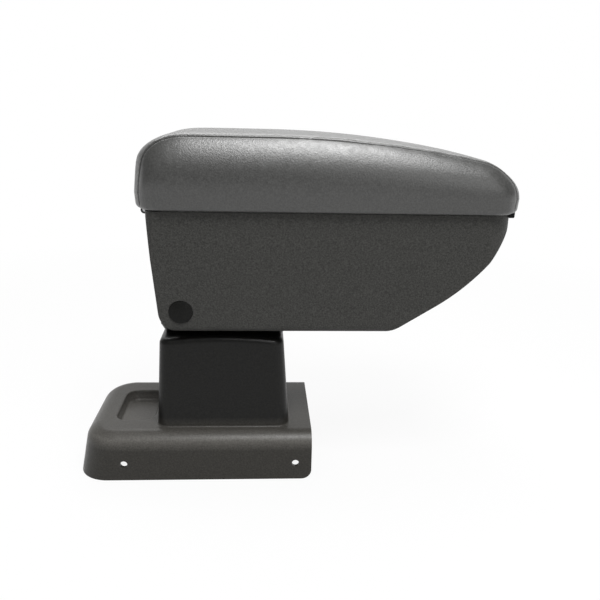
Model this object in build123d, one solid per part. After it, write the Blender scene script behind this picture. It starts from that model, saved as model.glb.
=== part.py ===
from build123d import *
import math
import os

# Car centre armrest: a padded lid on a storage box that tilts on a pedestal, which is moulded in
# one piece with the saddle that screws to the car's console.
# Millimetres and degrees. X runs forward, Y to the far side, Z up.
# The origin is under the middle of the whole part, level with the saddle's bottom rim.

# Saddle: a skirted shell, open underneath and at its front end
saddle_length = 198.5
saddle_width = 122.0
saddle_height = 41.3
saddle_wall = 3.0
saddle_rear_flare = 7.0
saddle_foot_corner = 26.0
saddle_top_corner = 31.0
saddle_fold_radius = 14.0
flange_corner = 8.5
screw_hole_spacing = 144.4
screw_hole_height = 14.9
screw_hole_radius = 3.0
screw_hole_from_front = 13.7

# Tray recess behind the pedestal
tray_length = 34.0
tray_width = 62.0
tray_depth = 9.0
tray_slope_run = 2.5
tray_front_run = 1.5
tray_corner = 11.0
tray_rim_round = 2.0
tray_floor_round = 3.0
tray_to_pedestal = 4.5

# Pedestal
pedestal_from_rear = 66.4
pedestal_length = 113.0
pedestal_side_step = 16.0
pedestal_height = 81.0
pedestal_wall = 3.0
pedestal_rear_lean = 3.9
pedestal_front_lean = 5.7
pedestal_side_lean = 2.4
pedestal_corner = 10.0
pedestal_arch_rise = 4.5
pedestal_shoulder = 5.0
pedestal_foot_round = 1.5

# Hinge seat on the pedestal
seat_rear_overhang = 0.8
seat_front_overhang = 4.6
seat_width = 54.0
seat_height = 4.5
seat_corner = 8.0
seat_slant = 4.2

# Hinge bracket, pivot pin and their fasteners
bracket_gauge = 3.0
bracket_length = 68.0
bracket_width = 40.0
bracket_from_seat_rear = 3.0
ear_radius = 10.0
backing_margin = 6.0
bolt_radius = 3.0
bolt_head_radius = 5.5
bolt_spacing_x = 50.0
bolt_spacing_y = 18.0
washer_radius = 6.0
washer_height = 1.6
nut_across_flats = 10.0
nut_height = 5.0
bolt_stick_out = 2.0
pivot_radius = 4.0
pivot_from_seat_rear = 21.0
spring_washer_radius = 8.0
spring_washer_height = 1.5
bumper_radius = 6.0
bumper_sink = 1.5
bumper_spacing = 36.0
bumper_from_seat_front = 18.0
rest_gap = 1.5

# Storage box
box_length = 293.0
box_height = 99.5
box_top_width = 114.0
box_bottom_width = 100.0
box_wall = 3.0
box_rear_reach = 25.3
box_front_drop = 8.7
box_front_steep_run = 32.7
box_front_steep_angle = 56.0
box_front_slope_angle = 33.0
box_nose_radius = 26.0
box_knee_radius = 170.0
box_chin_radius = 25.0
box_heel_radius = 18.1
box_edge_round = 7.0
box_front_corner = 34.0
box_rear_corner = 10.0
box_rim_width = 7.0
box_rim_height = 4.0
well_radius = 24.0
well_width = 52.0
boss_radius = 12.0
mat_height = 1.5
mat_margin = 4.0

# Pivot bushes and caps
bush_wall = 2.5
bush_flange_radius = 9.0
bush_flange_height = 2.0
cap_radius = 9.5
cap_rim_height = 2.0
cap_dome_height = 1.8
cap_seat_depth = 1.6
cap_stub_length = 4.0

# Lid hinge
hinge_pin_radius = 1.5
hinge_barrel_radius = 3.0
hinge_behind_box = 3.7
hinge_below_top = 3.0
hinge_middle_width = 17.4
hinge_lid_knuckle_width = 10.0
hinge_end_knuckle_width = 9.7

# Lid
lid_rear_overhang = 12.6
lid_front_overhang = 8.1
lid_side_overhang = 6.5
lid_edge_above_box_top = 0.5
lid_height = 58.5
lid_lean_angle = 6.0
lid_rear_corner = 32.0
lid_front_corner = 37.0
lid_rear_bow = 6.0
lid_front_bow = 9.0
lid_roll_radius = 15.0
lid_hem_radius = 4.5
lid_rear_knee = 26.0
lid_rear_fall_angle = 40.0
lid_rear_knee_radius = 55.0
lid_crest_from_front = 124.8
lid_front_slope_angle = 11.3
lid_crest_radius = 800.0
lid_front_knee = 32.0
lid_front_fall_angle = 36.0
lid_front_knee_radius = 45.0
cover_thickness = 1.2
seam_from_edge = 13.0
pan_rim_width = 5.0
pan_gauge = 3.0
liner_gauge = 3.0
liner_step = 0.5
liner_screw_radius = 1.5
liner_screw_head_radius = 3.0
liner_screw_head_height = 1.5
liner_screw_length = 5.0
liner_screw_inset = 12.0
lid_bumper_radius = 2.5
lid_bumper_stem_radius = 1.2
lid_bumper_from_ends = 58.0
lid_gap = 1.0

# Finger lip under the lid's front edge
lip_from_lid_edge = 2.6
lip_gap = 0.6
lip_width = 86.0
lip_height = 4.0
lip_edge_round = 1.0
lip_screw_radius = 0.9
lip_screw_head_radius = 1.6
lip_screw_head_height = 1.0
lip_screw_spacing = 24.0
lip_screw_length = 7.0

# Fits
running_clearance = 0.05
press_clearance = 0.02
soft_clearance = 0.3
knuckle_gap = 0.3
axial_clearance = 0.2

# How far a cut runs past what it cuts, and how much of an edge a rounding may use
overshoot = 1.0
rounding_share = 0.95

# How near an edge lies to the place it is looked for, and how far up a top face looks at least
edge_tolerance = 0.1
least_upward = 0.5

# Places worked out from the sizes above
pivot_from_rear = pedestal_from_rear + pedestal_rear_lean - seat_rear_overhang + pivot_from_seat_rear
lid_lean = math.radians(lid_lean_angle)
hem_draw = lid_hem_radius * (math.tan(lid_lean) + 1 / math.cos(lid_lean) - 1)
overall_length = pivot_from_rear - box_rear_reach + box_length + lid_front_overhang - hem_draw
saddle_rear = -overall_length / 2
saddle_front = saddle_rear + saddle_length
pedestal_rear = saddle_rear + pedestal_from_rear
pedestal_front = pedestal_rear + pedestal_length
pedestal_width = saddle_width - 2 * pedestal_side_step
pedestal_top = saddle_height + pedestal_height
pedestal_ceiling = pedestal_top - pedestal_arch_rise - pedestal_wall
seat_rear = pedestal_rear + pedestal_rear_lean - seat_rear_overhang
seat_front = pedestal_front - pedestal_front_lean + seat_front_overhang
seat_top = pedestal_top + seat_height
box_bottom = seat_top + rest_gap
box_top = box_bottom + box_height
pivot_x = seat_rear + pivot_from_seat_rear
pivot_z = box_bottom + box_heel_radius
box_rear = pivot_x - box_rear_reach
box_front = box_rear + box_length
hinge_x = box_rear - hinge_behind_box
hinge_z = box_top - hinge_below_top
lid_rear = box_rear - lid_rear_overhang
lid_front = box_front + lid_front_overhang
lid_half_width = box_top_width / 2 + lid_side_overhang
lid_edge = box_top + lid_edge_above_box_top
lid_top = lid_edge + lid_height
cover_inside = cover_thickness + soft_clearance
pan_bottom = lid_edge + cover_inside
liner_inset = cover_inside + pan_rim_width + liner_step
liner_bottom = box_top + lid_gap
liner_top = liner_bottom + liner_gauge
pan_top = liner_top + pan_gauge
seam_y = lid_half_width - seam_from_edge
well_half = well_width / 2
bush_radius = pivot_radius + running_clearance + bush_wall
hinge_step = hinge_middle_width / 2 + knuckle_gap
hinge_end = hinge_step + hinge_lid_knuckle_width + knuckle_gap + hinge_end_knuckle_width


def prism_x(section, start, end):
    """Solid from a YZ section, between two places along X."""
    return extrude(Plane.YZ.offset(start) * section, end - start)


def prism_y(profile, half_width):
    """Solid from an XZ profile, as wide to the near side as to the far side."""
    return extrude(Plane.XZ * profile, half_width, both=True)


def prism_z(outline, low, high):
    """Solid from an XY outline, between two heights."""
    return extrude(Plane.XY.offset(low) * outline, high - low)


def rod_y(radius, x, z, start, end):
    """Round bar along Y."""
    plane = Plane(origin=(x, start, z), x_dir=(1, 0, 0), z_dir=(0, 1, 0))
    return extrude(plane * Circle(radius), end - start)


def rod_z(radius, x, y, low, high):
    """Round bar along Z."""
    return prism_z(Pos(x, y) * Circle(radius), low, high)


def cone_z(low_radius, high_radius, x, y, low, high):
    """Round taper along Z."""
    middle = Pos(x, y, (low + high) / 2)
    return middle * Cone(low_radius, high_radius, high - low)


def block(x_range, y_range, z_range):
    """Plain block between two corners."""
    size = [high - low for low, high in (x_range, y_range, z_range)]
    middle = [(low + high) / 2 for low, high in (x_range, y_range, z_range)]
    return Pos(*middle) * Box(*size)


def drawn_in(face, inset):
    """A flat outline moved inward by the same distance all round."""
    if inset == 0:
        return face
    return offset(face, -inset)


def far_copy(shape):
    """The same piece on the far side."""
    return mirror(shape, about=Plane.XZ)


def rounded_rectangle(x_low, x_high, half_width, rear_corner, front_corner):
    """Outline with its own corner radius at each end."""
    corners = [(x_low, -half_width), (x_high, -half_width), (x_high, half_width), (x_low, half_width)]
    outline = make_face(Polyline(*corners, close=True))
    middle = (x_low + x_high) / 2
    rear = [v for v in outline.vertices() if v.X < middle]
    outline = fillet(rear, rear_corner)
    if front_corner == 0:
        return outline
    return fillet(outline.vertices().sort_by(Axis.X)[-2:], front_corner)


def rounded_polygon(points, radii):
    """Closed outline with its own radius at each corner, kept within the edges beside it."""
    outline = make_face(Polyline(*points, close=True))
    for index, radius in enumerate(radii):
        if radius == 0:
            continue
        corner = Vector(*points[index])
        before = Vector(*points[index - 1]) - corner
        after = Vector(*points[(index + 1) % len(points)]) - corner
        half_turn = math.radians(180 - before.get_angle(after)) / 2
        room = rounding_share * min(before.length, after.length) / math.tan(half_turn)
        vertex = outline.vertices().sort_by_distance(corner)[0]
        outline = fillet(vertex, min(radius, room))
    return outline


def boundary_edges(faces):
    """Edges that belong to only one of the faces."""
    edges = [edge for face in faces for edge in face.edges()]
    return [edge for edge in edges if sum(edge.is_same(other) for other in edges) == 1]


def at_four(spacing_x, spacing_y):
    """Corners of a rectangle about the middle."""
    return [(x, y) for x in (-spacing_x / 2, spacing_x / 2) for y in (-spacing_y / 2, spacing_y / 2)]


# Console adapter: saddle, tray recess and pedestal in one moulding

def saddle_form(inset, front):
    """Saddle block with a flared rear wall and rounded folds along its top."""
    half_width = saddle_width / 2 - inset
    rear = saddle_rear + inset
    low = rounded_rectangle(rear, front, half_width, saddle_foot_corner - inset, 0)
    high = rounded_rectangle(rear + saddle_rear_flare, front, half_width, saddle_top_corner - inset, 0)
    top = saddle_height - inset
    form = loft([low, Pos(0, 0, top) * high], ruled=True)
    folds = form.edges().filter_by(lambda e: e.center().Z > top - edge_tolerance)
    folds = [edge for edge in folds if edge.center().X < front - edge_tolerance]
    return fillet(folds, saddle_fold_radius - inset)


def pedestal_outline(height, inset):
    """Pedestal's plan at a height above the floor."""
    share = (height - saddle_height) / pedestal_height
    rear = pedestal_rear + pedestal_rear_lean * share + inset
    front = pedestal_front - pedestal_front_lean * share - inset
    half_width = pedestal_width / 2 - pedestal_side_lean * share - inset
    corner = pedestal_corner - inset
    return Pos(0, 0, height) * rounded_rectangle(rear, front, half_width, corner, corner)


def arch_profile():
    """Everything below the pedestal's arched top, seen from the side."""
    ends = pedestal_top - pedestal_arch_rise
    middle = (pedestal_rear + pedestal_front) / 2
    arch = ThreePointArc((pedestal_rear, ends), (middle, pedestal_top), (pedestal_front, ends))
    sides = Polyline((pedestal_front, ends), (pedestal_front, 0), (pedestal_rear, 0), (pedestal_rear, ends))
    return make_face([arch, sides])


def pedestal_body():
    """Leaning block with an arched top and a rounded shoulder."""
    above = pedestal_top + pedestal_shoulder
    block_form = loft([pedestal_outline(saddle_height, 0), pedestal_outline(above, 0)], ruled=True)
    body = block_form & prism_y(arch_profile(), pedestal_width)
    tops = body.faces().filter_by(lambda f: f.normal_at().Z > least_upward)
    return fillet(boundary_edges(tops), pedestal_shoulder)


def pedestal_hollow():
    """Room inside the pedestal, open to the room inside the saddle."""
    foot = saddle_height - 2 * saddle_wall
    outlines = [pedestal_outline(height, pedestal_wall) for height in (foot, pedestal_ceiling)]
    return loft(outlines, ruled=True)


def tray_form(growth):
    """Tray recess, or with growth the wall around it."""
    front = pedestal_rear - tray_to_pedestal
    floor = saddle_height - tray_depth - growth
    spread = tray_slope_run * overshoot / tray_depth
    outlines = []
    for height, draw_in in ((floor, tray_slope_run), (saddle_height + overshoot, -spread)):
        rear_x = front - tray_length + draw_in - growth
        front_x = front - draw_in * tray_front_run / tray_slope_run + growth
        half_width = tray_width / 2 - draw_in + growth
        corner = tray_corner - draw_in / 2 + growth
        outlines.append(Pos(0, 0, height) * rounded_rectangle(rear_x, front_x, half_width, corner, corner))
    form = loft(outlines, ruled=True)
    return fillet(form.faces().sort_by(Axis.Z)[0].edges(), tray_floor_round + growth)


def with_tray(saddle):
    """The saddle with the tray cut in and its rim rounded."""
    saddle = saddle - tray_form(0)
    front = pedestal_rear - tray_to_pedestal
    rim = saddle.edges().filter_by(lambda e: abs(e.center().Z - saddle_height) < edge_tolerance)
    reach = tray_length / 2 + edge_tolerance
    rim = [edge for edge in rim if abs(edge.center().X - front + tray_length / 2) < reach]
    rim = [edge for edge in rim if abs(edge.center().Y) < tray_width / 2 + edge_tolerance]
    return fillet(rim, tray_rim_round)


def screw_hole_places():
    """Places of the flange's holes along X."""
    front = saddle_front - screw_hole_from_front
    return [front - screw_hole_spacing, front]


def flange_trim():
    """What the rounded lower front corners take off the flanges."""
    corner = block((saddle_front - flange_corner, saddle_front + overshoot),
                   (-saddle_width, saddle_width), (-overshoot, flange_corner))
    return corner - rod_y(flange_corner, saddle_front - flange_corner, flange_corner,
                          -saddle_width, saddle_width)


def bolt_places():
    """Bolt places on the bracket."""
    middle = seat_rear + bracket_from_seat_rear + bracket_length / 2
    return [(middle + x, y) for x, y in at_four(bolt_spacing_x, bolt_spacing_y)]


def console_adapter():
    """Saddle, tray and pedestal, hollow inside."""
    outside = saddle_form(0, saddle_front) + pedestal_body()
    middle = (pedestal_rear + pedestal_front) / 2
    reach = pedestal_length / 2 + edge_tolerance
    foot = outside.edges().filter_by(lambda e: abs(e.center().Z - saddle_height) < edge_tolerance)
    foot = [edge for edge in foot if abs(edge.center().X - middle) < reach]
    foot = [edge for edge in foot if abs(edge.center().Y) < pedestal_width / 2 + edge_tolerance]
    outside = with_tray(fillet(foot, pedestal_foot_round))
    inside = saddle_form(saddle_wall, saddle_front + saddle_wall) + pedestal_hollow()
    shell = outside - (inside - tray_form(saddle_wall)) - flange_trim()
    for x in screw_hole_places():
        shell = shell - rod_y(screw_hole_radius, x, screw_hole_height, -saddle_width, saddle_width)
    for x, y in bolt_places():
        hole = rod_z(bolt_radius + soft_clearance, x, y,
                     pedestal_ceiling - overshoot, pedestal_top + overshoot)
        shell = shell - hole
    return shell


# Hinge seat, bracket and what fastens them

def bracket_range():
    """Bracket plate's two ends along X."""
    start = seat_rear + bracket_from_seat_rear
    return (start, start + bracket_length)


def rest_bumper_places():
    """Places of the two pads under the box."""
    return [(seat_front - bumper_from_seat_front, side * bumper_spacing / 2) for side in (-1, 1)]


def hinge_seat():
    """Plate with slanted edges, cut to sit on the arched top, with a pocket for the bracket."""
    half = seat_width / 2
    low = rounded_rectangle(seat_rear + seat_slant, seat_front - seat_slant, half - seat_slant,
                            seat_corner, seat_corner)
    high = rounded_rectangle(seat_rear, seat_front, half, seat_corner, seat_corner)
    foot = pedestal_top - pedestal_arch_rise
    plate = loft([Pos(0, 0, foot) * low, Pos(0, 0, seat_top) * high], ruled=True)
    plate = plate - prism_y(arch_profile(), seat_width)
    pocket_y = bracket_width / 2 + press_clearance
    start, end = bracket_range()
    plate = plate - block((start - press_clearance, end + press_clearance), (-pocket_y, pocket_y),
                          (seat_top - bracket_gauge, seat_top + overshoot))
    for x, y in bolt_places():
        plate = plate - rod_z(bolt_radius + soft_clearance, x, y, foot, seat_top)
    for x, y in rest_bumper_places():
        pocket = rod_z(bumper_radius + press_clearance, x, y, seat_top - bumper_sink, seat_top + overshoot)
        plate = plate - pocket
    return plate


def bolt_head(x, y, clearance):
    """Countersunk head, level with the bracket's top."""
    height = bolt_head_radius - bolt_radius
    return cone_z(bolt_radius + clearance, bolt_head_radius + clearance, x, y, seat_top - height, seat_top)


def ear_profile():
    """One ear from the side: straight edges up to a round end about the pivot."""
    foot = seat_top - bracket_gauge
    plate = Pos(pivot_x, (foot + pivot_z) / 2) * Rectangle(2 * ear_radius, pivot_z - foot)
    return plate + Pos(pivot_x, pivot_z) * Circle(ear_radius)


def hinge_bracket():
    """Steel plate with two ears folded up along its edges."""
    half = bracket_width / 2
    bracket = block(bracket_range(), (-half, half), (seat_top - bracket_gauge, seat_top))
    ear = prism_y(ear_profile(), half) - prism_y(ear_profile(), half - bracket_gauge)
    bracket = bracket + ear
    bracket = bracket - rod_y(pivot_radius + press_clearance, pivot_x, pivot_z, -half, half)
    for x, y in bolt_places():
        bracket = bracket - rod_z(bolt_radius + soft_clearance, x, y, seat_top - bracket_gauge, seat_top)
        bracket = bracket - bolt_head(x, y, press_clearance)
    return bracket


def backing_plate():
    """Plate under the pedestal's ceiling."""
    start, end = bracket_range()
    half = bracket_width / 2
    plate = block((start + backing_margin, end), (-half, half),
                  (pedestal_ceiling - bracket_gauge, pedestal_ceiling))
    for x, y in bolt_places():
        hole = rod_z(bolt_radius + soft_clearance, x, y, pedestal_ceiling - bracket_gauge, pedestal_ceiling)
        plate = plate - hole
    return plate


washer_top = pedestal_ceiling - bracket_gauge
nut_top = washer_top - washer_height
bolt_end = nut_top - nut_height - bolt_stick_out


def bracket_bolts():
    """Countersunk bolts down through the pedestal's top."""
    bolts = []
    for x, y in bolt_places():
        bolts.append(bolt_head(x, y, 0) + rod_z(bolt_radius, x, y, bolt_end, seat_top))
    return Compound(children=bolts)


def bracket_washers():
    """Plain washers under the backing plate."""
    washers = []
    for x, y in bolt_places():
        disc = rod_z(washer_radius, x, y, nut_top, washer_top)
        washers.append(disc - rod_z(bolt_radius + soft_clearance, x, y, nut_top, washer_top))
    return Compound(children=washers)


def bracket_nuts():
    """Six-sided nuts under the washers."""
    nuts = []
    for x, y in bolt_places():
        hexagon = Pos(x, y) * RegularPolygon(nut_across_flats / 2, 6, major_radius=False)
        nut = prism_z(hexagon, nut_top - nut_height, nut_top)
        nuts.append(nut - rod_z(bolt_radius + press_clearance, x, y, nut_top - nut_height, nut_top))
    return Compound(children=nuts)


def box_half_width(height):
    """Box's half width at a height."""
    share = (height - box_bottom) / box_height
    return (box_bottom_width + (box_top_width - box_bottom_width) * share) / 2


cap_seat_y = box_half_width(pivot_z) - cap_seat_depth
pin_end = cap_seat_y - cap_stub_length - axial_clearance


def pivot_pin():
    """Steel pin held in the bracket's ears."""
    return rod_y(pivot_radius, pivot_x, pivot_z, -pin_end, pin_end)


def rest_bumpers():
    """Rubber pads let into the seat, their tops where the box comes down."""
    pads = [rod_z(bumper_radius, x, y, seat_top - bumper_sink, box_bottom) for x, y in rest_bumper_places()]
    return Compound(children=pads)


bush_flange_y = well_half - bush_flange_height


def pivot_spring_washers():
    """Friction washers between the ears and the bushes."""
    outer = bush_flange_y - axial_clearance
    inner = outer - spring_washer_height
    disc = rod_y(spring_washer_radius, pivot_x, pivot_z, inner, outer)
    washer = disc - rod_y(pivot_radius + running_clearance, pivot_x, pivot_z, inner, outer)
    return Compound(children=[washer, far_copy(washer)])


# Storage box

def heel_corner():
    """Where the rear wall, drawn tangent to the heel's arc, meets the level of the bottom."""
    across = pivot_x - box_rear
    down = box_top - pivot_z
    turn = math.asin(box_heel_radius / math.hypot(across, down))
    lean = math.atan2(across, down) - turn
    return (box_rear + box_height * math.tan(lean), box_bottom)


knee_rise = box_front_steep_run * math.tan(math.radians(box_front_steep_angle))
knee = (box_front - box_front_steep_run, box_top - box_front_drop - knee_rise)
chin_x = knee[0] - (knee[1] - box_bottom) / math.tan(math.radians(box_front_slope_angle))


def box_profile(top):
    """Box from the side: leaning rear, round heel, flat bottom and a front that steepens upward."""
    heel = heel_corner()
    nose = (box_front, box_top - box_front_drop)
    stretch = (top - box_top) / box_height
    rear_top = (box_rear - (heel[0] - box_rear) * stretch, top)
    points = [heel, (chin_x, box_bottom), knee, nose, (box_front, top), rear_top]
    radii = [box_heel_radius, box_chin_radius, box_knee_radius, box_nose_radius, 0, 0]
    return rounded_polygon(points, radii)


def box_section(top):
    """Box from the front: wider at the top, with rounded lower edges."""
    low = box_bottom_width / 2
    high = box_half_width(top)
    corners = [(-low, box_bottom), (low, box_bottom), (high, top), (-high, top)]
    outline = make_face(Polyline(*corners, close=True))
    lower = [vertex for vertex in outline.vertices() if vertex.Y < box_bottom + edge_tolerance]
    return fillet(lower, box_edge_round)


def box_plan():
    """Box from above."""
    return rounded_rectangle(box_rear, box_front, box_top_width / 2, box_rear_corner, box_front_corner)


def box_form(inset, top):
    """Box as a solid up to a height, drawn in on every side but its top."""
    reach = box_top + inset + 2 * overshoot
    side = drawn_in(box_profile(reach), inset)
    cross = drawn_in(box_section(reach), inset)
    plan = drawn_in(box_plan(), inset)
    form = prism_y(side, box_top_width) & prism_x(cross, box_rear - overshoot, box_front + overshoot)
    return form & prism_z(plan, box_bottom - overshoot, top)


def pivot_boss():
    """Solid round boss between the hinge well and the near wall."""
    return rod_y(boss_radius, pivot_x, pivot_z, -box_half_width(pivot_z), -well_half)


def hinge_well(growth):
    """Round well that the bracket's ears stand in, or with growth the wall around it."""
    half = well_half + growth
    return rod_y(well_radius + growth, pivot_x, pivot_z, -half, half)


def barrel(start, end):
    """One knuckle of the lid hinge and its arm to the box's rear wall."""
    knuckle = rod_y(hinge_barrel_radius, hinge_x, hinge_z, start, end)
    arm_top = min(hinge_z + hinge_barrel_radius, box_top)
    arm = block((hinge_x, box_rear + box_wall), (start, end), (hinge_z - hinge_barrel_radius, arm_top))
    return knuckle + arm


def storage_box():
    """Moulded box with rim, hinge well, pivot bosses and lid hinge knuckles."""
    outside = box_form(0, box_top)
    room = box_form(box_wall, box_top - box_rim_height)
    mouth = box_form(box_rim_width, box_top + overshoot) & block(
        (box_rear, box_front), (-box_top_width, box_top_width),
        (box_top - 2 * box_rim_height, box_top + overshoot))
    boss = pivot_boss() & outside
    room = room + mouth - hinge_well(box_wall) - boss - far_copy(boss)
    box = outside - room - hinge_well(0)
    bore = rod_y(bush_radius + press_clearance, pivot_x, pivot_z, -box_top_width, box_top_width)
    cap_seat = rod_y(cap_radius + soft_clearance, pivot_x, pivot_z, -box_top_width, -cap_seat_y)
    box = box - bore - cap_seat - far_copy(cap_seat)
    end_knuckle = barrel(hinge_end - hinge_end_knuckle_width, hinge_end)
    box = box + barrel(-hinge_middle_width / 2, hinge_middle_width / 2)
    box = box + end_knuckle + far_copy(end_knuckle)
    return box - rod_y(hinge_pin_radius + press_clearance, hinge_x, hinge_z, -hinge_end, hinge_end)


def pivot_bushes():
    """Flanged sleeves that turn on the pivot pin."""
    sleeve = rod_y(bush_radius, pivot_x, pivot_z, bush_flange_y, pin_end)
    flange = rod_y(bush_flange_radius, pivot_x, pivot_z, bush_flange_y, well_half)
    bush = sleeve + flange
    bush = bush - rod_y(pivot_radius + running_clearance, pivot_x, pivot_z, bush_flange_y, pin_end)
    return Compound(children=[bush, far_copy(bush)])


def pivot_cap_far():
    """Domed cap with a stub that plugs the bush's bore."""
    rim_y = cap_seat_y + cap_rim_height
    top_y = rim_y + cap_dome_height
    dome = TangentArc((0, top_y), (cap_radius, rim_y), tangent=(1, 0))
    stub_y = cap_seat_y - cap_stub_length
    edges = Polyline((cap_radius, rim_y), (cap_radius, cap_seat_y), (bush_radius, cap_seat_y),
                     (bush_radius, stub_y), (0, stub_y), (0, top_y))
    cap = revolve(make_face([dome, edges]), Axis.Y)
    return Pos(pivot_x, 0, pivot_z) * cap


def lid_hinge_pin():
    """Steel rod fixed in the box's knuckles."""
    return rod_y(hinge_pin_radius, hinge_x, hinge_z, -hinge_end, hinge_end)


def compartment_mat():
    """Rubber mat on the box's floor, in front of the hinge well."""
    floor = box_bottom + box_wall
    rear = pivot_x + well_radius + box_wall + mat_margin
    front = chin_x - box_chin_radius
    half_width = box_bottom_width / 2 - box_edge_round - mat_margin
    outline = rounded_rectangle(rear, front, half_width, mat_margin, mat_margin)
    return prism_z(outline, floor, floor + mat_height)


# Lid

def lid_outline(inset):
    """Lid's plan, with bowed ends and round corners."""
    half = lid_half_width - inset
    rear = lid_rear + inset
    front = lid_front - inset
    rear_arc = ThreePointArc((rear + lid_rear_bow, half), (rear, 0), (rear + lid_rear_bow, -half))
    front_arc = ThreePointArc((front - lid_front_bow, -half), (front, 0), (front - lid_front_bow, half))
    near = Line(rear_arc @ 1, front_arc @ 0)
    far = Line(front_arc @ 1, rear_arc @ 0)
    outline = make_face([rear_arc, near, front_arc, far])
    middle = (lid_rear + lid_front) / 2
    rear_corners = [vertex for vertex in outline.vertices() if vertex.X < middle]
    outline = fillet(rear_corners, lid_rear_corner - inset)
    front_corners = outline.vertices().sort_by(Axis.X)[-2:]
    return fillet(front_corners, lid_front_corner - inset)


def lid_profile():
    """Everything below the lid's top line, seen from the side."""
    reach = lid_roll_radius + lid_height
    crest_rear = lid_rear + lid_rear_knee
    crest_front = lid_front - lid_crest_from_front
    knee_x = lid_front - lid_front_knee
    knee_z = lid_top - (knee_x - crest_front) * math.tan(math.radians(lid_front_slope_angle))
    rear_z = lid_top - (lid_rear_knee + reach) * math.tan(math.radians(lid_rear_fall_angle))
    front_z = knee_z - (lid_front_knee + reach) * math.tan(math.radians(lid_front_fall_angle))
    low = min(rear_z, front_z, lid_edge) - reach
    crest = ((crest_rear, lid_top), (crest_front, lid_top), (knee_x, knee_z))
    points = [(lid_rear - reach, low), (lid_rear - reach, rear_z), *crest,
              (lid_front + reach, front_z), (lid_front + reach, low)]
    radii = [0, 0, lid_rear_knee_radius, lid_crest_radius, lid_front_knee_radius, 0, 0]
    return rounded_polygon(points, radii)


def lid_form(inset):
    """Padded lid as a solid, drawn in on every side."""
    tall = lid_height + lid_roll_radius
    walls = extrude(Pos(0, 0, lid_edge + inset) * lid_outline(inset), tall, taper=lid_lean_angle)
    form = walls & prism_y(drawn_in(lid_profile(), inset), lid_half_width + overshoot)
    tops = form.faces().filter_by(lambda f: f.normal_at().Z > least_upward)
    form = fillet(boundary_edges(tops), lid_roll_radius - inset)
    return fillet(form.faces().sort_by(Axis.Z)[0].edges(), lid_hem_radius - inset)


def above(shape, height):
    """The part of a shape above a height."""
    reach = 2 * lid_half_width
    keep = block((lid_rear - reach, lid_front + reach), (-reach, reach), (height, lid_top + reach))
    return shape & keep


def between(shape, low, high):
    """The part of a shape between two places along Y."""
    keep = block((lid_rear - overshoot, lid_front + overshoot), (low, high),
                 (lid_edge - overshoot, lid_top + overshoot))
    return shape & keep


def lip_screw_places():
    """Screw places of the finger lip, in the middle of its band."""
    x = (box_front + lip_gap + lid_front - lip_from_lid_edge) / 2
    return [(x, side * lip_screw_spacing / 2) for side in (-1, 1)]


def lid_cover():
    """Whole cover: a skin over the form, turned in under the pan's rim."""
    opening = prism_z(lid_outline(cover_inside + pan_rim_width), lid_edge - overshoot, pan_bottom)
    skin = lid_form(0) - lid_form(cover_thickness) - opening
    for x, y in lip_screw_places():
        skin = skin - rod_z(lip_screw_radius + soft_clearance, x, y, lid_edge - overshoot, pan_bottom)
    return skin


def lid_bumper_places():
    """Places of the lid's rubber buttons, over the middle of the box's rim."""
    y = (box_top_width - box_rim_width) / 2
    ends = (box_rear + lid_bumper_from_ends, box_front - lid_bumper_from_ends)
    return [(x, side * y) for x in ends for side in (-1, 1)]


def liner_screw_places():
    """Places of the liner's screws, inside the box's mouth."""
    y = box_top_width / 2 - box_rim_width - liner_screw_inset
    ends = (box_rear + lid_bumper_from_ends, box_front - lid_bumper_from_ends)
    return [(x, side * y) for x in (ends[0], sum(ends) / 2, ends[1]) for side in (-1, 1)]


def lid_knuckle():
    """Far one of the lid's two knuckles, with its block up to the pan."""
    start = hinge_step
    end = start + hinge_lid_knuckle_width
    web = block((hinge_x - hinge_barrel_radius / 2, hinge_x + hinge_barrel_radius), (start, end),
                (hinge_z, liner_top))
    return rod_y(hinge_barrel_radius, hinge_x, hinge_z, start, end) + web


def lid_pan():
    """Stiff pan with a rim that backs the cover's lower edge."""
    pan = lid_form(cover_inside) - above(lid_form(cover_inside), pan_top)
    pan = pan - prism_z(lid_outline(cover_inside + pan_rim_width), pan_bottom - overshoot, liner_top)
    pan = pan + lid_knuckle() + far_copy(lid_knuckle())
    pan = pan - rod_y(hinge_pin_radius + running_clearance, hinge_x, hinge_z, -hinge_end, hinge_end)
    for x, y in liner_screw_places():
        pan = pan - rod_z(liner_screw_radius + press_clearance, x, y, liner_top - overshoot, pan_top)
    for x, y in lip_screw_places():
        pan = pan - rod_z(lip_screw_radius + press_clearance, x, y, pan_bottom - overshoot, pan_top)
    return pan


def lid_liner():
    """Panel that closes the lid's underside, in front of the hinge."""
    outline = lid_outline(liner_inset)
    panel = prism_z(outline, liner_bottom, liner_top)
    rear = hinge_x + hinge_barrel_radius + liner_gauge
    panel = panel & block((rear, lid_front), (-lid_half_width, lid_half_width), (liner_bottom, liner_top))
    for x, y in liner_screw_places():
        panel = panel - rod_z(liner_screw_radius + press_clearance, x, y, liner_bottom, liner_top)
        panel = panel - rod_z(liner_screw_head_radius + press_clearance, x, y,
                              liner_bottom - overshoot, liner_bottom + liner_screw_head_height)
    for x, y in lid_bumper_places():
        panel = panel - rod_z(lid_bumper_stem_radius + press_clearance, x, y, liner_bottom, liner_top)
    return panel


def liner_screws():
    """Pan-head screws let into the liner."""
    screws = []
    for x, y in liner_screw_places():
        head = rod_z(liner_screw_head_radius, x, y, liner_bottom, liner_bottom + liner_screw_head_height)
        screws.append(head + rod_z(liner_screw_radius, x, y, liner_bottom, liner_bottom + liner_screw_length))
    return Compound(children=screws)


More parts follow.
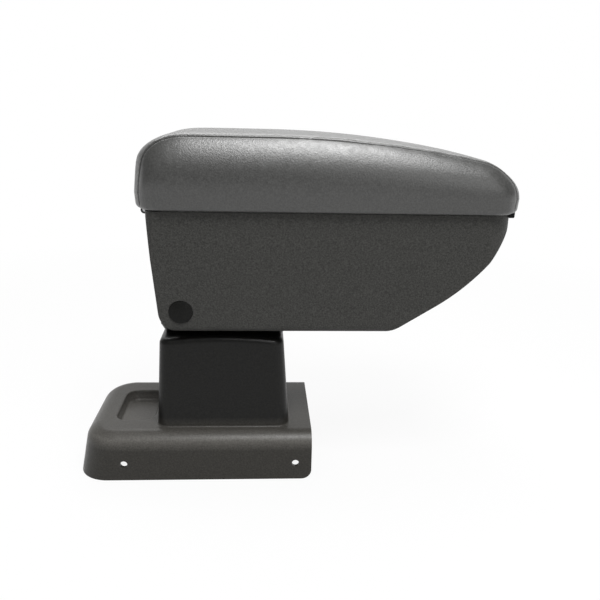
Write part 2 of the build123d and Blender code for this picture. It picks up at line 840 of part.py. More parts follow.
def lid_bumpers():
    """Rubber buttons whose stems plug the liner and whose heads meet the box's rim."""
    buttons = []
    for x, y in lid_bumper_places():
        head = rod_z(lid_bumper_radius, x, y, box_top, liner_bottom)
        buttons.append(head + rod_z(lid_bumper_stem_radius, x, y, box_top, liner_top))
    return Compound(children=buttons)


def lid_foam():
    """Pad between the pan and the cover."""
    return above(lid_form(cover_inside), pan_top + soft_clearance)


def lip_top():
    """Top of the finger lip, just clear of the cover."""
    return lid_edge - soft_clearance


def finger_lip():
    """Grip that follows the lid's front edge, just clear of the box, with rounded lower edges."""
    bottom = lip_top() - lip_height
    band = prism_z(lid_outline(lip_from_lid_edge), bottom, lip_top())
    band = band - prism_z(offset(box_plan(), lip_gap), bottom - overshoot, lip_top() + overshoot)
    lip = band & block((box_front - box_front_corner, lid_front), (-lip_width / 2, lip_width / 2),
                       (bottom, lip_top()))
    lip = fillet(lip.faces().sort_by(Axis.Z)[0].edges(), lip_edge_round)
    for x, y in lip_screw_places():
        lip = lip - rod_z(lip_screw_radius + press_clearance, x, y, bottom, lip_top())
        lip = lip - rod_z(lip_screw_head_radius + press_clearance, x, y,
                          bottom - overshoot, bottom + lip_screw_head_height)
    return lip


def finger_lip_screws():
    """Screws up through the finger lip into the pan's rim."""
    screws = []
    bottom = lip_top() - lip_height
    for x, y in lip_screw_places():
        head = rod_z(lip_screw_head_radius, x, y, bottom, bottom + lip_screw_head_height)
        screws.append(head + rod_z(lip_screw_radius, x, y, bottom, bottom + lip_screw_length))
    return Compound(children=screws)


def all_pieces():
    """Every piece by its name."""
    cover = lid_cover()
    far_side = between(cover, seam_y, lid_half_width + overshoot)
    cap = pivot_cap_far()
    return {
        "console_adapter": console_adapter(),
        "hinge_seat": hinge_seat(),
        "hinge_bracket": hinge_bracket(),
        "backing_plate": backing_plate(),
        "bracket_bolts": bracket_bolts(),
        "bracket_washers": bracket_washers(),
        "bracket_nuts": bracket_nuts(),
        "pivot_pin": pivot_pin(),
        "pivot_spring_washers": pivot_spring_washers(),
        "rest_bumpers": rest_bumpers(),
        "storage_box": storage_box(),
        "pivot_bushes": pivot_bushes(),
        "pivot_cap_near": far_copy(cap),
        "pivot_cap_far": cap,
        "lid_hinge_pin": lid_hinge_pin(),
        "compartment_mat": compartment_mat(),
        "lid_pan": lid_pan(),
        "lid_liner": lid_liner(),
        "liner_screws": liner_screws(),
        "lid_foam": lid_foam(),
        "lid_top_cover": between(cover, -seam_y, seam_y),
        "lid_side_cover_near": far_copy(far_side),
        "lid_side_cover_far": far_side,
        "lid_bumpers": lid_bumpers(),
        "finger_lip": finger_lip(),
        "finger_lip_screws": finger_lip_screws(),
    }


os.makedirs("parts", exist_ok=True)
for name, piece in all_pieces().items():
    export_step(piece, os.path.join("parts", name + ".step"))
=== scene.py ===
import bmesh
import bpy
import math
from mathutils import Matrix, Vector
from mathutils.bvhtree import BVHTree


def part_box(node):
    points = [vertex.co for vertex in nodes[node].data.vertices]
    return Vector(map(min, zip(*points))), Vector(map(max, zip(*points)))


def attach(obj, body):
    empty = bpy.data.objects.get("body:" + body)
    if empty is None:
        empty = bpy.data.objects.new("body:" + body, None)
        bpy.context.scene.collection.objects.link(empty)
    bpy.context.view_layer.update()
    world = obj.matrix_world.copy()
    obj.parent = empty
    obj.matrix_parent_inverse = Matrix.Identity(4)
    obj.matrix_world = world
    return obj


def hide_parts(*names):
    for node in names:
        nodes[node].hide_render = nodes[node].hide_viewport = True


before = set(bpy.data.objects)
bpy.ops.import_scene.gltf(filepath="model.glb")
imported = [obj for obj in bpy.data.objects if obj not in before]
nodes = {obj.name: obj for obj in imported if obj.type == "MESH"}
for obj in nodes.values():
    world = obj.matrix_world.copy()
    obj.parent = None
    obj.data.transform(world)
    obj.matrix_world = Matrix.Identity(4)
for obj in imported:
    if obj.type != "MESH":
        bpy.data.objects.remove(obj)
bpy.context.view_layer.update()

# Lengths are metres, apart from the sensor's millimetres, and angles are degrees.

# Camera, at the photograph's viewpoint
CAMERA_PLACE = Vector((-0.02745, -0.5603, 0.3079))
CAMERA_YAW = 3.45
CAMERA_PITCH = 16.48
CAMERA_ROLL = -1.29
SENSOR_WIDTH = 36.0
FOCAL_PIXELS = 660.4
PICTURE_PIXELS = 600
NEAREST_SEEN = 0.01

# Stage and light
FLOOR_HALF_WIDTH = 3.0
FLOOR_FRONT = -2.5
BACKDROP_START = 1.2
BACKDROP_RADIUS = 0.8
BACKDROP_HEIGHT = 2.5
BACKDROP_STEPS = 12
STAGE_COLOUR = (0.66, 0.66, 0.66)
STAGE_GLOW_NEAR = 0.90
STAGE_NEAR = 0.35
STAGE_FAR = 1.0
WORLD_COLOUR = (1.0, 1.0, 1.0, 1.0)
WORLD_STRENGTH = 0.30

# Lamps in front, overhead, behind and weakly from the front: name, place, point aimed at, size, watts
LAMPS = (
    ("soft_box", (0.13, -0.54, 1.15), (0.0, 0.0, 0.25), (0.56, 0.44), 13.5),
    ("overhead", (0.06, 0.06, 1.30), (0.0, 0.0, 0.28), (0.7, 0.42), 7.0),
    ("strip_light", (0.0, 0.75, 0.95), (0.0, 0.0, 0.28), (1.2, 0.4), 5.0),
    ("fill", (0.9, -1.4, 0.8), (0.0, 0.0, 0.15), (1.2, 0.9), 4.5),
)

# Padded lid: places from the CAD lid, amounts for its filling and sewing
LID_EDGE = 0.2283
LID_MIDDLE = 0.026
PAN_TOP = 0.2348
PAN_BOTTOM = 0.2298
SEAM_Y = 0.0505
SIDE_WIDEST = 0.0637
SIDE_WIDEST_SHARE = 0.35
CUSHION_VOXEL = 0.004
CUSHION_PRESSURE = 4.0
CUSHION_FRAMES = 20
CUSHION_SWELL = (0.0008, 0.0010, 0.0017)
SEAM_HELD = 0.003
SEAM_FREE = 0.020
CUSHION_SMOOTHING = 6
SMOOTHING_SHARE = 0.5
HEM_HELD = 0.008
HEM_FREE = 0.022
HEM_CUT = 0.2393
HEM_ROUND = 0.0036
HEM_DRAW = 0.0006
HEM_STEPS = 5
HEM_TURN = 0.0077
HEM_SKIN = 0.0043
EDGE_SPREAD = 2
SLIVER = 0.00008
CUSHION_SHARP = 50.0
RECESS_GAP = 0.0004
SEAM_DEPTH = 0.0011
SEAM_WIDTH = 0.00055
SEAM_CUTS = (-0.005, -0.0034, -0.002, -0.0012, -0.0006, 0.0, 0.0006, 0.0012, 0.002, 0.0034, 0.005)

# Heights at which materials change
CREASE_LOW = 0.262
CREASE_HIGH = 0.277
FOLD_LOW = 0.027
# Height where the painted highlight along the saddle's fold is palest
FOLD_HIGHLIGHT_PEAK = 0.036
FOLD_TOP = 0.043
# Height from which the pedestal carries its full painted shade, the shade under the box
PEDESTAL_SHADE_FULL = 0.050

# Leatherette and thread: darkest and lightest tones, and the leatherette's least and most roughness
LEATHER_TONES = ((0.022, 0.022, 0.021), (0.046, 0.046, 0.044))
LEATHER_ROUGHNESS = (0.32, 0.40)
THREAD_TONES = ((0.05, 0.05, 0.048), (0.10, 0.10, 0.095))

# Adapter's plastic: darkest and lightest tones, then roughness, specular level, grain scale and strength
SADDLE_TONES = ((0.020, 0.0187, 0.0162), (0.040, 0.0376, 0.0330))
# The pedestal's tones are darker to paint in the shade under the box
PEDESTAL_SHADE_TONES = ((0.003, 0.003, 0.003), (0.010, 0.010, 0.009))
# Paler tones along the fold are a painted highlight, standing in for the gloss there
FOLD_HIGHLIGHT_TONES = ((0.062, 0.0594, 0.0543), (0.118, 0.1130, 0.1040))
ADAPTER_FINISH = (0.34, 0.20, 1300.0, 0.12)

# Other plastics and rubber: darkest and lightest tone, then the same four values
BOX_PLASTIC = ((0.022, 0.022, 0.0205), (0.058, 0.0575, 0.054), 0.50, 0.14, 900.0, 0.45)
DARK_PLASTIC = ((0.005, 0.005, 0.005), (0.010, 0.010, 0.009), 0.34, 0.10, 1500.0, 0.2)
PALE_PLASTIC = ((0.55, 0.54, 0.50), (0.65, 0.64, 0.60), 0.5, 0.4, 1500.0, 0.1)
RUBBER = ((0.012, 0.012, 0.012), (0.02, 0.02, 0.02), 0.75, 0.25, 1500.0, 0.3)

# Steels: colour and roughness
COATED_STEEL = ((0.05, 0.05, 0.055), 0.45)
PLATED_STEEL = ((0.55, 0.55, 0.56), 0.35)

# Scale, detail and roughness of the plastics' fleck
FLECK = (750.0, 4.0, 0.7)

# Drawn-out noises: scales along X, Y and Z, and turn about Y
CREASES = ((420.0, 420.0, 90.0), 38.0)
TWIST = ((2600.0, 900.0, 2600.0), 30.0)
SCRATCHES = ((60.0, 1800.0, 1800.0), 0.0)

# Shares of a noise between which a colour or a roughness runs
RAMP_LOW = 0.3
RAMP_HIGH = 0.7

# Stitches beside the seams
STITCH_FROM_SEAM = 0.0019
STITCH_PITCH = 0.0042
STITCH_LENGTH = 0.0028
STITCH_RADIUS = 0.00026
STITCH_SINK = 0.00012
STITCH_RAYS = 720
RAY_REACH = 0.4
STITCH_LOWEST = 0.236
STITCH_SHARP = 60.0
STITCH_SEGMENTS = 8
STITCH_RINGS = 6


def new_material(name, colour, roughness, specular=0.5, metallic=0.0):
    """A material with a Principled shader and its constant values set on the shader itself."""
    material = bpy.data.materials.new(name)
    material.use_nodes = True
    shader = material.node_tree.nodes["Principled BSDF"]
    shader.inputs["Base Color"].default_value = (*colour, 1.0)
    shader.inputs["Roughness"].default_value = roughness
    shader.inputs["Specular IOR Level"].default_value = specular
    shader.inputs["Metallic"].default_value = metallic
    return material


def add_node(material, kind, **values):
    """One shader node with some of its inputs set by name."""
    node = material.node_tree.nodes.new(kind)
    for name, value in values.items():
        node.inputs[name.replace("_", " ")].default_value = value
    return node


def link(material, source, target):
    """Joins an output socket to an input socket."""
    material.node_tree.links.new(source, target)


def shader_of(material):
    """The material's Principled shader."""
    return material.node_tree.nodes["Principled BSDF"]


def place_of(material):
    """Object coordinates, which are metres in the part's frame."""
    return add_node(material, "ShaderNodeTexCoord").outputs["Object"]


def noise_of(material, scale, detail=2.0, roughness=0.5):
    """Noise value over the part, scale in cycles to the metre."""
    node = add_node(material, "ShaderNodeTexNoise", Scale=scale, Detail=detail, Roughness=roughness)
    link(material, place_of(material), node.inputs["Vector"])
    return node.outputs["Fac"]


def cells_of(material, scale, smooth):
    """Distance from rounded cell centres over the part."""
    node = add_node(material, "ShaderNodeTexVoronoi", Scale=scale)
    node.feature = "SMOOTH_F1"
    node.inputs["Smoothness"].default_value = smooth
    link(material, place_of(material), node.inputs["Vector"])
    return node.outputs["Distance"]


def bump(material, height, distance, strength, before=None):
    """A bump layer, on top of an earlier one if given."""
    node = add_node(material, "ShaderNodeBump", Strength=strength, Distance=distance)
    link(material, height, node.inputs["Height"])
    if before is not None:
        link(material, before, node.inputs["Normal"])
    link(material, node.outputs["Normal"], shader_of(material).inputs["Normal"])
    return node.outputs["Normal"]


def between(material, source, low, high):
    """From low to high, each a grey or a colour, as a noise goes from dark to light."""
    node = add_node(material, "ShaderNodeValToRGB")
    link(material, source, node.inputs["Fac"])
    stops = ((RAMP_LOW, low), (RAMP_HIGH, high))
    for element, (place, colour) in zip(node.color_ramp.elements, stops):
        element.position = place
        if isinstance(colour, float):
            colour = (colour, colour, colour)
        element.color = (*colour, 1.0)
    return node.outputs["Color"]


def vary_colour(material, source, low, high):
    """Base colour from low to high as a value goes from dark to light."""
    link(material, between(material, source, low, high), shader_of(material).inputs["Base Color"])


def vary_roughness(material, source, low, high):
    """Roughness between two values as a value goes from dark to light."""
    link(material, between(material, source, low, high), shader_of(material).inputs["Roughness"])


def height_share(material, low, high):
    """A value from 0 at one height of the part to 1 at another."""
    place = add_node(material, "ShaderNodeSeparateXYZ")
    link(material, place_of(material), place.inputs[0])
    share = add_node(material, "ShaderNodeMapRange")
    share.inputs["From Min"].default_value = low
    share.inputs["From Max"].default_value = high
    link(material, place.outputs["Z"], share.inputs["Value"])
    return share.outputs["Result"]


def mixed(material, share, first, second):
    """Colour between two others."""
    mix = add_node(material, "ShaderNodeMix")
    mix.data_type = "RGBA"
    link(material, share, mix.inputs["Factor"])
    link(material, first, mix.inputs["A"])
    link(material, second, mix.inputs["B"])
    return mix.outputs["Result"]


def stretched_noise(material, scales, turn, detail=2.0):
    """Noise drawn out along one direction, with its own turn about Y."""
    stretch = add_node(material, "ShaderNodeMapping")
    stretch.inputs["Rotation"].default_value = (0.0, math.radians(turn), 0.0)
    stretch.inputs["Scale"].default_value = scales
    link(material, place_of(material), stretch.inputs["Vector"])
    node = add_node(material, "ShaderNodeTexNoise", Scale=1.0, Detail=detail)
    link(material, stretch.outputs["Vector"], node.inputs["Vector"])
    return node.outputs["Fac"]


def product(material, first, second):
    """Two values multiplied."""
    node = add_node(material, "ShaderNodeMath")
    node.operation = "MULTIPLY"
    link(material, first, node.inputs[0])
    link(material, second, node.inputs[1])
    return node.outputs[0]


def leatherette():
    """Fine-grained coated cloth with a soft sheen and faint creases under the seam."""
    material = new_material("leatherette", colour=(0.034, 0.034, 0.033), roughness=0.36, specular=0.8)
    vary_colour(material, noise_of(material, scale=800.0, detail=3.0), *LEATHER_TONES)
    vary_roughness(material, noise_of(material, scale=240.0), *LEATHER_ROUGHNESS)
    creases = product(material, stretched_noise(material, *CREASES),
                      height_share(material, CREASE_LOW, CREASE_HIGH))
    layer = bump(material, creases, distance=0.0005, strength=0.16)
    grain = cells_of(material, scale=800.0, smooth=0.35)
    layer = bump(material, grain, distance=0.0004, strength=0.15, before=layer)
    fine_grain = noise_of(material, scale=2400.0)
    bump(material, fine_grain, distance=0.0002, strength=0.15, before=layer)
    return material


def thread():
    """Twisted sewing thread."""
    material = new_material("thread", colour=(0.07, 0.07, 0.067), roughness=0.45, specular=0.7)
    twist = stretched_noise(material, *TWIST)
    vary_colour(material, twist, *THREAD_TONES)
    bump(material, twist, distance=0.0002, strength=0.5)
    return material


def grained(name, colour, roughness, specular, grain_scale, grain_strength):
    """A material with a fine spark-eroded texture, in one colour."""
    material = new_material(name, colour, roughness, specular)
    vary_roughness(material, noise_of(material, scale=420.0), roughness - 0.05, roughness + 0.05)
    grain = cells_of(material, grain_scale, smooth=0.5)
    layer = bump(material, grain, distance=0.0003, strength=grain_strength)
    fine_grain = noise_of(material, scale=grain_scale * 2.5)
    bump(material, fine_grain, distance=0.00015, strength=grain_strength, before=layer)
    return material


def textured_plastic(name, low, high, *finish):
    """Moulded plastic or rubber with flecks between two colours."""
    material = grained(name, high, *finish)
    vary_colour(material, noise_of(material, *FLECK), low, high)
    return material


def adapter_plastic():
    """Satin plastic, painted darker on the pedestal than on the saddle as shade under the box, and
    painted paler along the fold as a highlight.
    """
    material = grained("adapter_plastic", SADDLE_TONES[1], *ADAPTER_FINISH)
    fleck = noise_of(material, *FLECK)
    plain = between(material, fleck, *SADDLE_TONES)
    # Painted shade for the pedestal under the box
    pedestal = between(material, fleck, *PEDESTAL_SHADE_TONES)
    # Painted highlight for the saddle's fold
    fold_highlight = between(material, fleck, *FOLD_HIGHLIGHT_TONES)
    above = height_share(material, FOLD_LOW, FOLD_HIGHLIGHT_PEAK)
    below = height_share(material, FOLD_TOP, FOLD_HIGHLIGHT_PEAK)
    # The painted highlight is mixed in along the fold
    saddle = mixed(material, product(material, above, below), plain, fold_highlight)
    # Painted shade from the top of the fold up the pedestal
    colour = mixed(material, height_share(material, FOLD_TOP, PEDESTAL_SHADE_FULL), saddle, pedestal)
    link(material, colour, shader_of(material).inputs["Base Color"])
    return material


def steel(name, colour, roughness):
    """Bare or plated steel with fine scratches."""
    material = new_material(name, colour, roughness, metallic=1.0)
    scratches = stretched_noise(material, *SCRATCHES, detail=3.0)
    vary_roughness(material, scratches, roughness - 0.08, roughness + 0.10)
    bump(material, scratches, distance=0.00005, strength=0.2)
    return material


def set_camera():
    """Camera at the photograph's place, turn and tilt."""
    yaw, pitch, roll = (math.radians(a) for a in (CAMERA_YAW, CAMERA_PITCH, CAMERA_ROLL))
    reach = math.cos(pitch)
    forward = Vector((math.sin(yaw) * reach, math.cos(yaw) * reach, -math.sin(pitch)))
    level = Vector((math.cos(yaw), -math.sin(yaw), 0.0))
    down = forward.cross(level)
    right = math.cos(roll) * level + math.sin(roll) * down
    below = math.cos(roll) * down - math.sin(roll) * level
    turn = Matrix((right, -below, -forward)).transposed().to_4x4()
    data = bpy.data.cameras.new("camera")
    data.sensor_width = SENSOR_WIDTH
    data.lens = FOCAL_PIXELS / PICTURE_PIXELS * SENSOR_WIDTH
    data.clip_start = NEAREST_SEEN
    camera = bpy.data.objects.new("camera", data)
    camera.matrix_world = Matrix.Translation(CAMERA_PLACE) @ turn
    bpy.context.scene.collection.objects.link(camera)
    bpy.context.scene.camera = camera


def mesh_object(name, mesh):
    """A new object for a mesh, in the scene."""
    obj = bpy.data.objects.new(name, mesh)
    bpy.context.scene.collection.objects.link(obj)
    return obj


def any_of(material, values):
    """The largest of several values."""
    total = values[0]
    for value in values[1:]:
        node = add_node(material, "ShaderNodeMath")
        node.operation = "MAXIMUM"
        link(material, total, node.inputs[0])
        link(material, value, node.inputs[1])
        total = node.outputs[0]
    return total


def stage_material():
    """Pale floor that glows white to the eye, less so near the part, where it keeps a soft shadow."""
    material = new_material("stage", STAGE_COLOUR, 1.0, specular=0.0)
    glow = add_node(material, "ShaderNodeEmission", Color=(1.0, 1.0, 1.0, 1.0), Strength=1.0)
    path = add_node(material, "ShaderNodeLightPath")
    seen = any_of(material, [path.outputs["Is Camera Ray"], path.outputs["Is Glossy Ray"],
                             path.outputs["Is Transmission Ray"]])
    away = add_node(material, "ShaderNodeVectorMath")
    away.operation = "LENGTH"
    link(material, place_of(material), away.inputs[0])
    share = add_node(material, "ShaderNodeMapRange")
    share.inputs["From Min"].default_value = STAGE_NEAR
    share.inputs["From Max"].default_value = STAGE_FAR
    share.inputs["To Min"].default_value = STAGE_GLOW_NEAR
    link(material, away.outputs["Value"], share.inputs["Value"])
    mix = add_node(material, "ShaderNodeMixShader")
    link(material, product(material, seen, share.outputs["Result"]), mix.inputs[0])
    link(material, shader_of(material).outputs[0], mix.inputs[1])
    link(material, glow.outputs[0], mix.inputs[2])
    link(material, mix.outputs[0], material.node_tree.nodes["Material Output"].inputs["Surface"])
    return material


def build_stage():
    """Floor that curves up into a backdrop."""
    profile = [(FLOOR_FRONT, 0.0)]
    for step in range(BACKDROP_STEPS + 1):
        angle = math.radians(90.0 * step / BACKDROP_STEPS)
        y = BACKDROP_START + BACKDROP_RADIUS * math.sin(angle)
        z = BACKDROP_RADIUS * (1.0 - math.cos(angle))
        profile.append((y, z))
    profile.append((BACKDROP_START + BACKDROP_RADIUS, BACKDROP_HEIGHT))
    vertices = [(x, y, z) for x in (-FLOOR_HALF_WIDTH, FLOOR_HALF_WIDTH) for y, z in profile]
    count = len(profile)
    faces = [(i, i + count, i + count + 1, i + 1) for i in range(count - 1)]
    mesh = bpy.data.meshes.new("floor")
    mesh.from_pydata(vertices, [], faces)
    for polygon in mesh.polygons:
        polygon.use_smooth = True
    floor = mesh_object("floor", mesh)
    mesh.materials.append(stage_material())


def area_light(name, place, target, size, power):
    """A rectangular soft light aimed at a point."""
    data = bpy.data.lights.new(name, "AREA")
    data.shape = "RECTANGLE"
    data.size, data.size_y = size
    data.energy = power
    lamp = bpy.data.objects.new(name, data)
    lamp.location = place
    lamp.rotation_euler = (Vector(target) - Vector(place)).to_track_quat("-Z", "Y").to_euler()
    bpy.context.scene.collection.objects.link(lamp)


def build_lights():
    """The lamps and a dim surround."""
    for lamp in LAMPS:
        area_light(*lamp)
    world = bpy.data.worlds.new("surround")
    world.use_nodes = True
    background = world.node_tree.nodes["Background"]
    background.inputs["Color"].default_value = WORLD_COLOUR
    background.inputs["Strength"].default_value = WORLD_STRENGTH
    bpy.context.scene.world = world


def shade_smooth(obj, angle):
    """Smooth shading, with edges sharper than the angle left crisp."""
    for polygon in obj.data.polygons:
        polygon.use_smooth = True
    obj.data.set_sharp_from_angle(angle=math.radians(angle))


def hull_of(names):
    """Mesh of the closed form around some nodes."""
    form = bmesh.new()
    for name in names:
        form.from_mesh(nodes[name].data)
    result = bmesh.ops.convex_hull(form, input=form.verts)
    loose = [v for v in result["geom_interior"] if isinstance(v, bmesh.types.BMVert)]
    bmesh.ops.delete(form, geom=loose, context="VERTS")
    holes = set(result["geom_holes"])
    old = [face for face in form.faces if face in holes]
    bmesh.ops.delete(form, geom=old, context="FACES")
    return form


def applied(obj):
    """Replaces an object's mesh by what its modifiers make of it."""
    graph = bpy.context.evaluated_depsgraph_get()
    mesh = bpy.data.meshes.new_from_object(obj.evaluated_get(graph))
    obj.modifiers.clear()
    obj.data = mesh


def fade(value, start, end):
    """A share that eases from 0 at the start to 1 at the end."""
    share = min(1.0, max(0.0, (value - start) / (end - start)))
    return share * share * (3.0 - 2.0 * share)


def seam_heights(obj):
    """A function that gives the form's height above a place along the near or far seam."""
    mesh = obj.data
    tree = BVHTree.FromPolygons([v.co for v in mesh.vertices], [p.vertices for p in mesh.polygons])
    down = Vector((0.0, 0.0, -1.0))

    def height(x):
        hit = tree.ray_cast(Vector((x, SEAM_Y, 1.0)), down)[0]
        return LID_EDGE if hit is None else hit.z
    return height


def side_place(z, seam_z):
    """How far out a side panel lies at a height: upright at its widest, then an arc up to the seam."""
    widest_z = LID_EDGE + SIDE_WIDEST_SHARE * (seam_z - LID_EDGE)
    rise = seam_z - widest_z
    draw = SIDE_WIDEST - SEAM_Y
    radius = (rise * rise + draw * draw) / (2.0 * draw)
    above = max(0.0, z - widest_z)
    return SIDE_WIDEST - radius + math.sqrt(radius * radius - above * above)


def shape_sides(obj):
    """Gives the long side panels their round section between the hem and the seams."""
    height = seam_heights(obj)
    moves = []
    for vertex in obj.data.vertices:
        seam_z = height(vertex.co.x)
        level = vertex.normal.xy.length
        if vertex.co.z > seam_z or vertex.co.z < LID_EDGE + HEM_ROUND or level == 0.0:
            continue
        sideways = (vertex.normal.y / level) ** 2
        start = fade(vertex.co.z, LID_EDGE + HEM_ROUND, LID_EDGE + HEM_FREE)
        target = math.copysign(side_place(vertex.co.z, seam_z), vertex.co.y)
        moves.append((vertex, (target - vertex.co.y) * sideways * start))
    for vertex, move in moves:
        vertex.co.y += move


def held_parts(obj):
    """Vertex group that holds the lower edge and the seams, and lets go away from them."""
    group = obj.vertex_groups.new(name="held")
    for vertex in obj.data.vertices:
        hem = 1.0 - fade(vertex.co.z - LID_EDGE, HEM_HELD, HEM_FREE)
        seam = 1.0 - fade(abs(abs(vertex.co.y) - SEAM_Y), SEAM_HELD, SEAM_FREE)
        group.add([vertex.index], max(hem, seam), "REPLACE")
    return group.name


def swell(obj):
    """Fills the form by cloth pressure; no point moves further than the swell allows."""
    scene = bpy.context.scene
    start = [vertex.co.copy() for vertex in obj.data.vertices]
    cloth = obj.modifiers.new("swell", "CLOTH")
    cloth.settings.use_pressure = True
    cloth.settings.uniform_pressure_force = CUSHION_PRESSURE
    cloth.settings.vertex_group_mass = held_parts(obj)
    cloth.settings.effector_weights.gravity = 0.0
    cloth.point_cache.frame_start = 1
    cloth.point_cache.frame_end = CUSHION_FRAMES
    for frame_number in range(1, CUSHION_FRAMES + 1):
        scene.frame_set(frame_number)
    applied(obj)
    scene.frame_set(1)
    for vertex, place in zip(obj.data.vertices, start):
        moves = zip(vertex.co - place, CUSHION_SWELL)
        vertex.co = place + Vector([most * math.tanh(part / most) for part, most in moves])


def smooth_over(obj, rounds):
    """Evens out the remeshed surface."""
    form = bmesh.new()
    form.from_mesh(obj.data)
    for _ in range(rounds):
        bmesh.ops.smooth_vert(form, verts=form.verts, factor=SMOOTHING_SHARE, use_axis_x=True,
                              use_axis_y=True, use_axis_z=True)
    form.to_mesh(obj.data)
    form.free()


def fit_to_covers(obj, covers):
    """Gives the form back the covers' length, which smoothing drew in."""
    boxes = [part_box(name) for name in covers]
    low_x = min(low[0] for low, _ in boxes)
    high_x = max(high[0] for _, high in boxes)
    rear = min(vertex.co.x for vertex in obj.data.vertices)
    front = max(vertex.co.x for vertex in obj.data.vertices)
    stretch = (high_x - low_x) / (front - rear)
    for vertex in obj.data.vertices:
        vertex.co.x = low_x + (vertex.co.x - rear) * stretch


def seam_offset(distance):
    """How far the cover is drawn in at a distance from a seam: a narrow groove."""
    return -SEAM_DEPTH * math.exp(-(distance / SEAM_WIDTH) ** 2)


def sew_seams(obj):
    """Presses the two long seams into the cover."""
    form = bmesh.new()
    form.from_mesh(obj.data)
    for side in (-1.0, 1.0):
        for cut in SEAM_CUTS:
            place = (0.0, side * (SEAM_Y + cut), 0.0)
            everything = form.verts[:] + form.edges[:] + form.faces[:]
            bmesh.ops.bisect_plane(form, geom=everything, plane_co=place, plane_no=(0.0, 1.0, 0.0))
    bmesh.ops.remove_doubles(form, verts=form.verts, dist=SLIVER)
    form.normal_update()
    moves = []
    for vertex in form.verts:
        offset = seam_offset(abs(vertex.co.y) - SEAM_Y)
        moves.append(vertex.normal * (offset * fade(vertex.co.z, LID_EDGE, LID_EDGE + HEM_HELD)))
    for vertex, move in zip(form.verts, moves):
        vertex.co += move
    form.to_mesh(obj.data)
    form.free()


def open_edge(form):
    """Vertices round the form's open edge, in order."""
    following = {}
    for edge in form.edges:
        if edge.is_boundary:
            loop = edge.link_loops[0]
            following[loop.vert] = loop.link_loop_next.vert
    ring = [next(iter(following))]
    while following[ring[-1]] is not ring[0]:
        ring.append(following[ring[-1]])
    return ring


def add_rings(form, rings):
    """Carries the open edge on through rings, each given by its inset and its height."""
    edge = open_edge(form)
    count = len(edge)
    places = [vertex.co.xy for vertex in edge]
    inward = []
    for index in range(count):
        along = places[(index + EDGE_SPREAD) % count] - places[index - EDGE_SPREAD]
        inward.append(Vector((-along.y, along.x)).normalized())
    for inset, height in rings:
        new = [form.verts.new((*(place + turn * inset), height)) for place, turn in zip(places, inward)]
        for index in range(count):
            after = (index + 1) % count
            form.faces.new((edge[after], edge[index], new[index], new[after]))
        edge = new
    return edge


def turn_hem(obj):
    """Ends the cover in a tight roll that turns in under the pan's rim, and leaves it open there."""
    form = bmesh.new()
    form.from_mesh(obj.data)
    everything = form.verts[:] + form.edges[:] + form.faces[:]
    bmesh.ops.bisect_plane(form, geom=everything, plane_co=(0.0, 0.0, HEM_CUT),
                           plane_no=(0.0, 0.0, 1.0), clear_inner=True)
    shares = [step / HEM_STEPS for step in range(1, HEM_STEPS + 1)]
    fall = LID_EDGE + HEM_ROUND - HEM_CUT
    rings = [(HEM_DRAW * share, HEM_CUT + fall * share) for share in shares]
    for share in shares:
        angle = math.radians(90.0 * share)
        inset = HEM_DRAW + HEM_ROUND * (1.0 - math.cos(angle))
        rings.append((inset, LID_EDGE + HEM_ROUND * (1.0 - math.sin(angle))))
    rings.append((HEM_TURN, LID_EDGE))
    add_rings(form, rings)
    form.to_mesh(obj.data)
    form.free()


def hollow_underside(obj):
    """Closes the cover above the pan, with room for the pan and the liner."""
    form = bmesh.new()
    form.from_mesh(obj.data)
    under_rim = PAN_BOTTOM - RECESS_GAP
    outward = HEM_SKIN - HEM_TURN
    ceiling = add_rings(form, [(0.0, under_rim), (outward, under_rim), (outward, PAN_TOP + RECESS_GAP)])
    form.faces.new(list(reversed(ceiling)))
    form.to_mesh(obj.data)
    form.free()


def build_cushion(material):
    """Padded lid: filled by cloth pressure, with sewn seams and a turned-under hem."""
    covers = ("lid_top_cover", "lid_side_cover_near", "lid_side_cover_far")
    form = hull_of(covers)
    mesh = bpy.data.meshes.new("lid_cushion")
    form.to_mesh(mesh)
    form.free()
    cushion = mesh_object("lid_cushion", mesh)
    remesh = cushion.modifiers.new("remesh", "REMESH")
    remesh.mode = "VOXEL"
    remesh.voxel_size = CUSHION_VOXEL
    applied(cushion)
    shape_sides(cushion)
    swell(cushion)
    smooth_over(cushion, CUSHION_SMOOTHING)
    cushion.modifiers.new("finer", "SUBSURF").levels = 1
    applied(cushion)
    fit_to_covers(cushion, covers)
    turn_hem(cushion)
    sew_seams(cushion)
    hollow_underside(cushion)
    shade_smooth(cushion, CUSHION_SHARP)
    cushion.data.materials.clear()
    cushion.data.materials.append(material)
    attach(cushion, "lid")
    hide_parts("lid_foam", *covers)
    return cushion


def seam_path(tree, y):
    """Points and normals on the cushion, all the way over it at one place across."""
    middle = Vector((LID_MIDDLE, y, LID_EDGE))
    path = []
    for step in range(STITCH_RAYS + 1):
        angle = math.pi * step / STITCH_RAYS
        outward = Vector((math.cos(angle), 0.0, math.sin(angle)))
        place, normal, _, _ = tree.ray_cast(middle + outward * RAY_REACH, -outward)
        if place is not None and place.z > STITCH_LOWEST:
            path.append((place, normal))
    return path


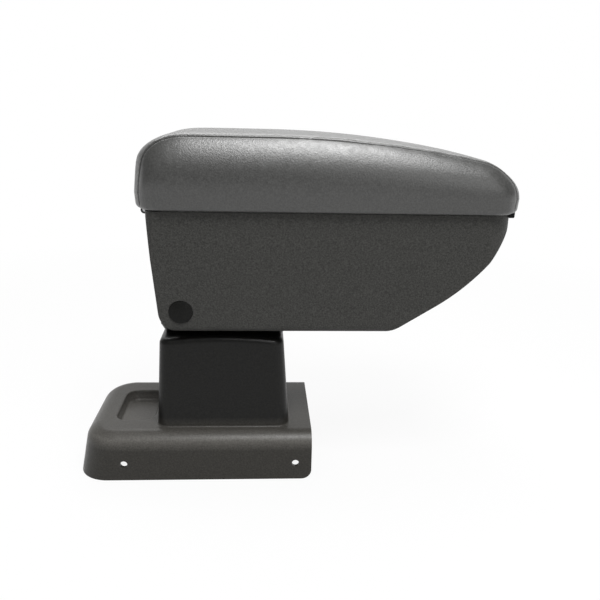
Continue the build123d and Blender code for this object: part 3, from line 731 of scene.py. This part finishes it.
def stitch_places(path):
    """Middle, direction and normal of every stitch along a path."""
    places = []
    travelled = 0.0
    due = STITCH_PITCH
    for (start, normal), (end, _) in zip(path, path[1:]):
        step = end - start
        while travelled + step.length >= due:
            share = (due - travelled) / step.length
            places.append((start + step * share, step.normalized(), normal))
            due += STITCH_PITCH
        travelled += step.length
    return places


def build_stitches(cushion, material):
    """Rows of stitches on the top panel, beside both seams."""
    form = bmesh.new()
    form.from_mesh(cushion.data)
    tree = BVHTree.FromBMesh(form)
    form.clear()
    size = Matrix.Diagonal((STITCH_LENGTH / 2, STITCH_RADIUS, STITCH_RADIUS, 1.0))
    for side in (-1.0, 1.0):
        for place, along, normal in stitch_places(seam_path(tree, side * (SEAM_Y - STITCH_FROM_SEAM))):
            across = normal.cross(along).normalized()
            turn = Matrix((along, across, along.cross(across))).transposed().to_4x4()
            shift = Matrix.Translation(place - normal * STITCH_SINK)
            bmesh.ops.create_uvsphere(form, u_segments=STITCH_SEGMENTS, v_segments=STITCH_RINGS,
                                      radius=1.0, matrix=shift @ turn @ size)
    mesh = bpy.data.meshes.new("lid_stitches")
    form.to_mesh(mesh)
    form.free()
    stitches = mesh_object("lid_stitches", mesh)
    mesh.materials.append(material)
    shade_smooth(stitches, STITCH_SHARP)
    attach(stitches, "lid")


def dress(names, material):
    """Gives CAD nodes a material."""
    for name in names:
        obj = nodes[name]
        obj.data.materials.clear()
        obj.data.materials.append(material)


set_camera()
build_stage()
build_lights()
bpy.context.scene.view_settings.view_transform = "Standard"

cushion = build_cushion(leatherette())
build_stitches(cushion, thread())
dress(["console_adapter", "hinge_seat"], adapter_plastic())
dress(["storage_box"], textured_plastic("box_plastic", *BOX_PLASTIC))
dress(["pivot_cap_near", "pivot_cap_far", "lid_pan", "lid_liner", "finger_lip"],
      textured_plastic("dark_plastic", *DARK_PLASTIC))
dress(["pivot_bushes"], textured_plastic("bush_plastic", *PALE_PLASTIC))
dress(["rest_bumpers", "lid_bumpers", "compartment_mat"], textured_plastic("rubber", *RUBBER))
dress(["hinge_bracket", "backing_plate"], steel("coated_steel", *COATED_STEEL))
dress(["bracket_bolts", "bracket_washers", "bracket_nuts", "pivot_spring_washers", "liner_screws",
       "finger_lip_screws", "pivot_pin", "lid_hinge_pin"], steel("plated_steel", *PLATED_STEEL))
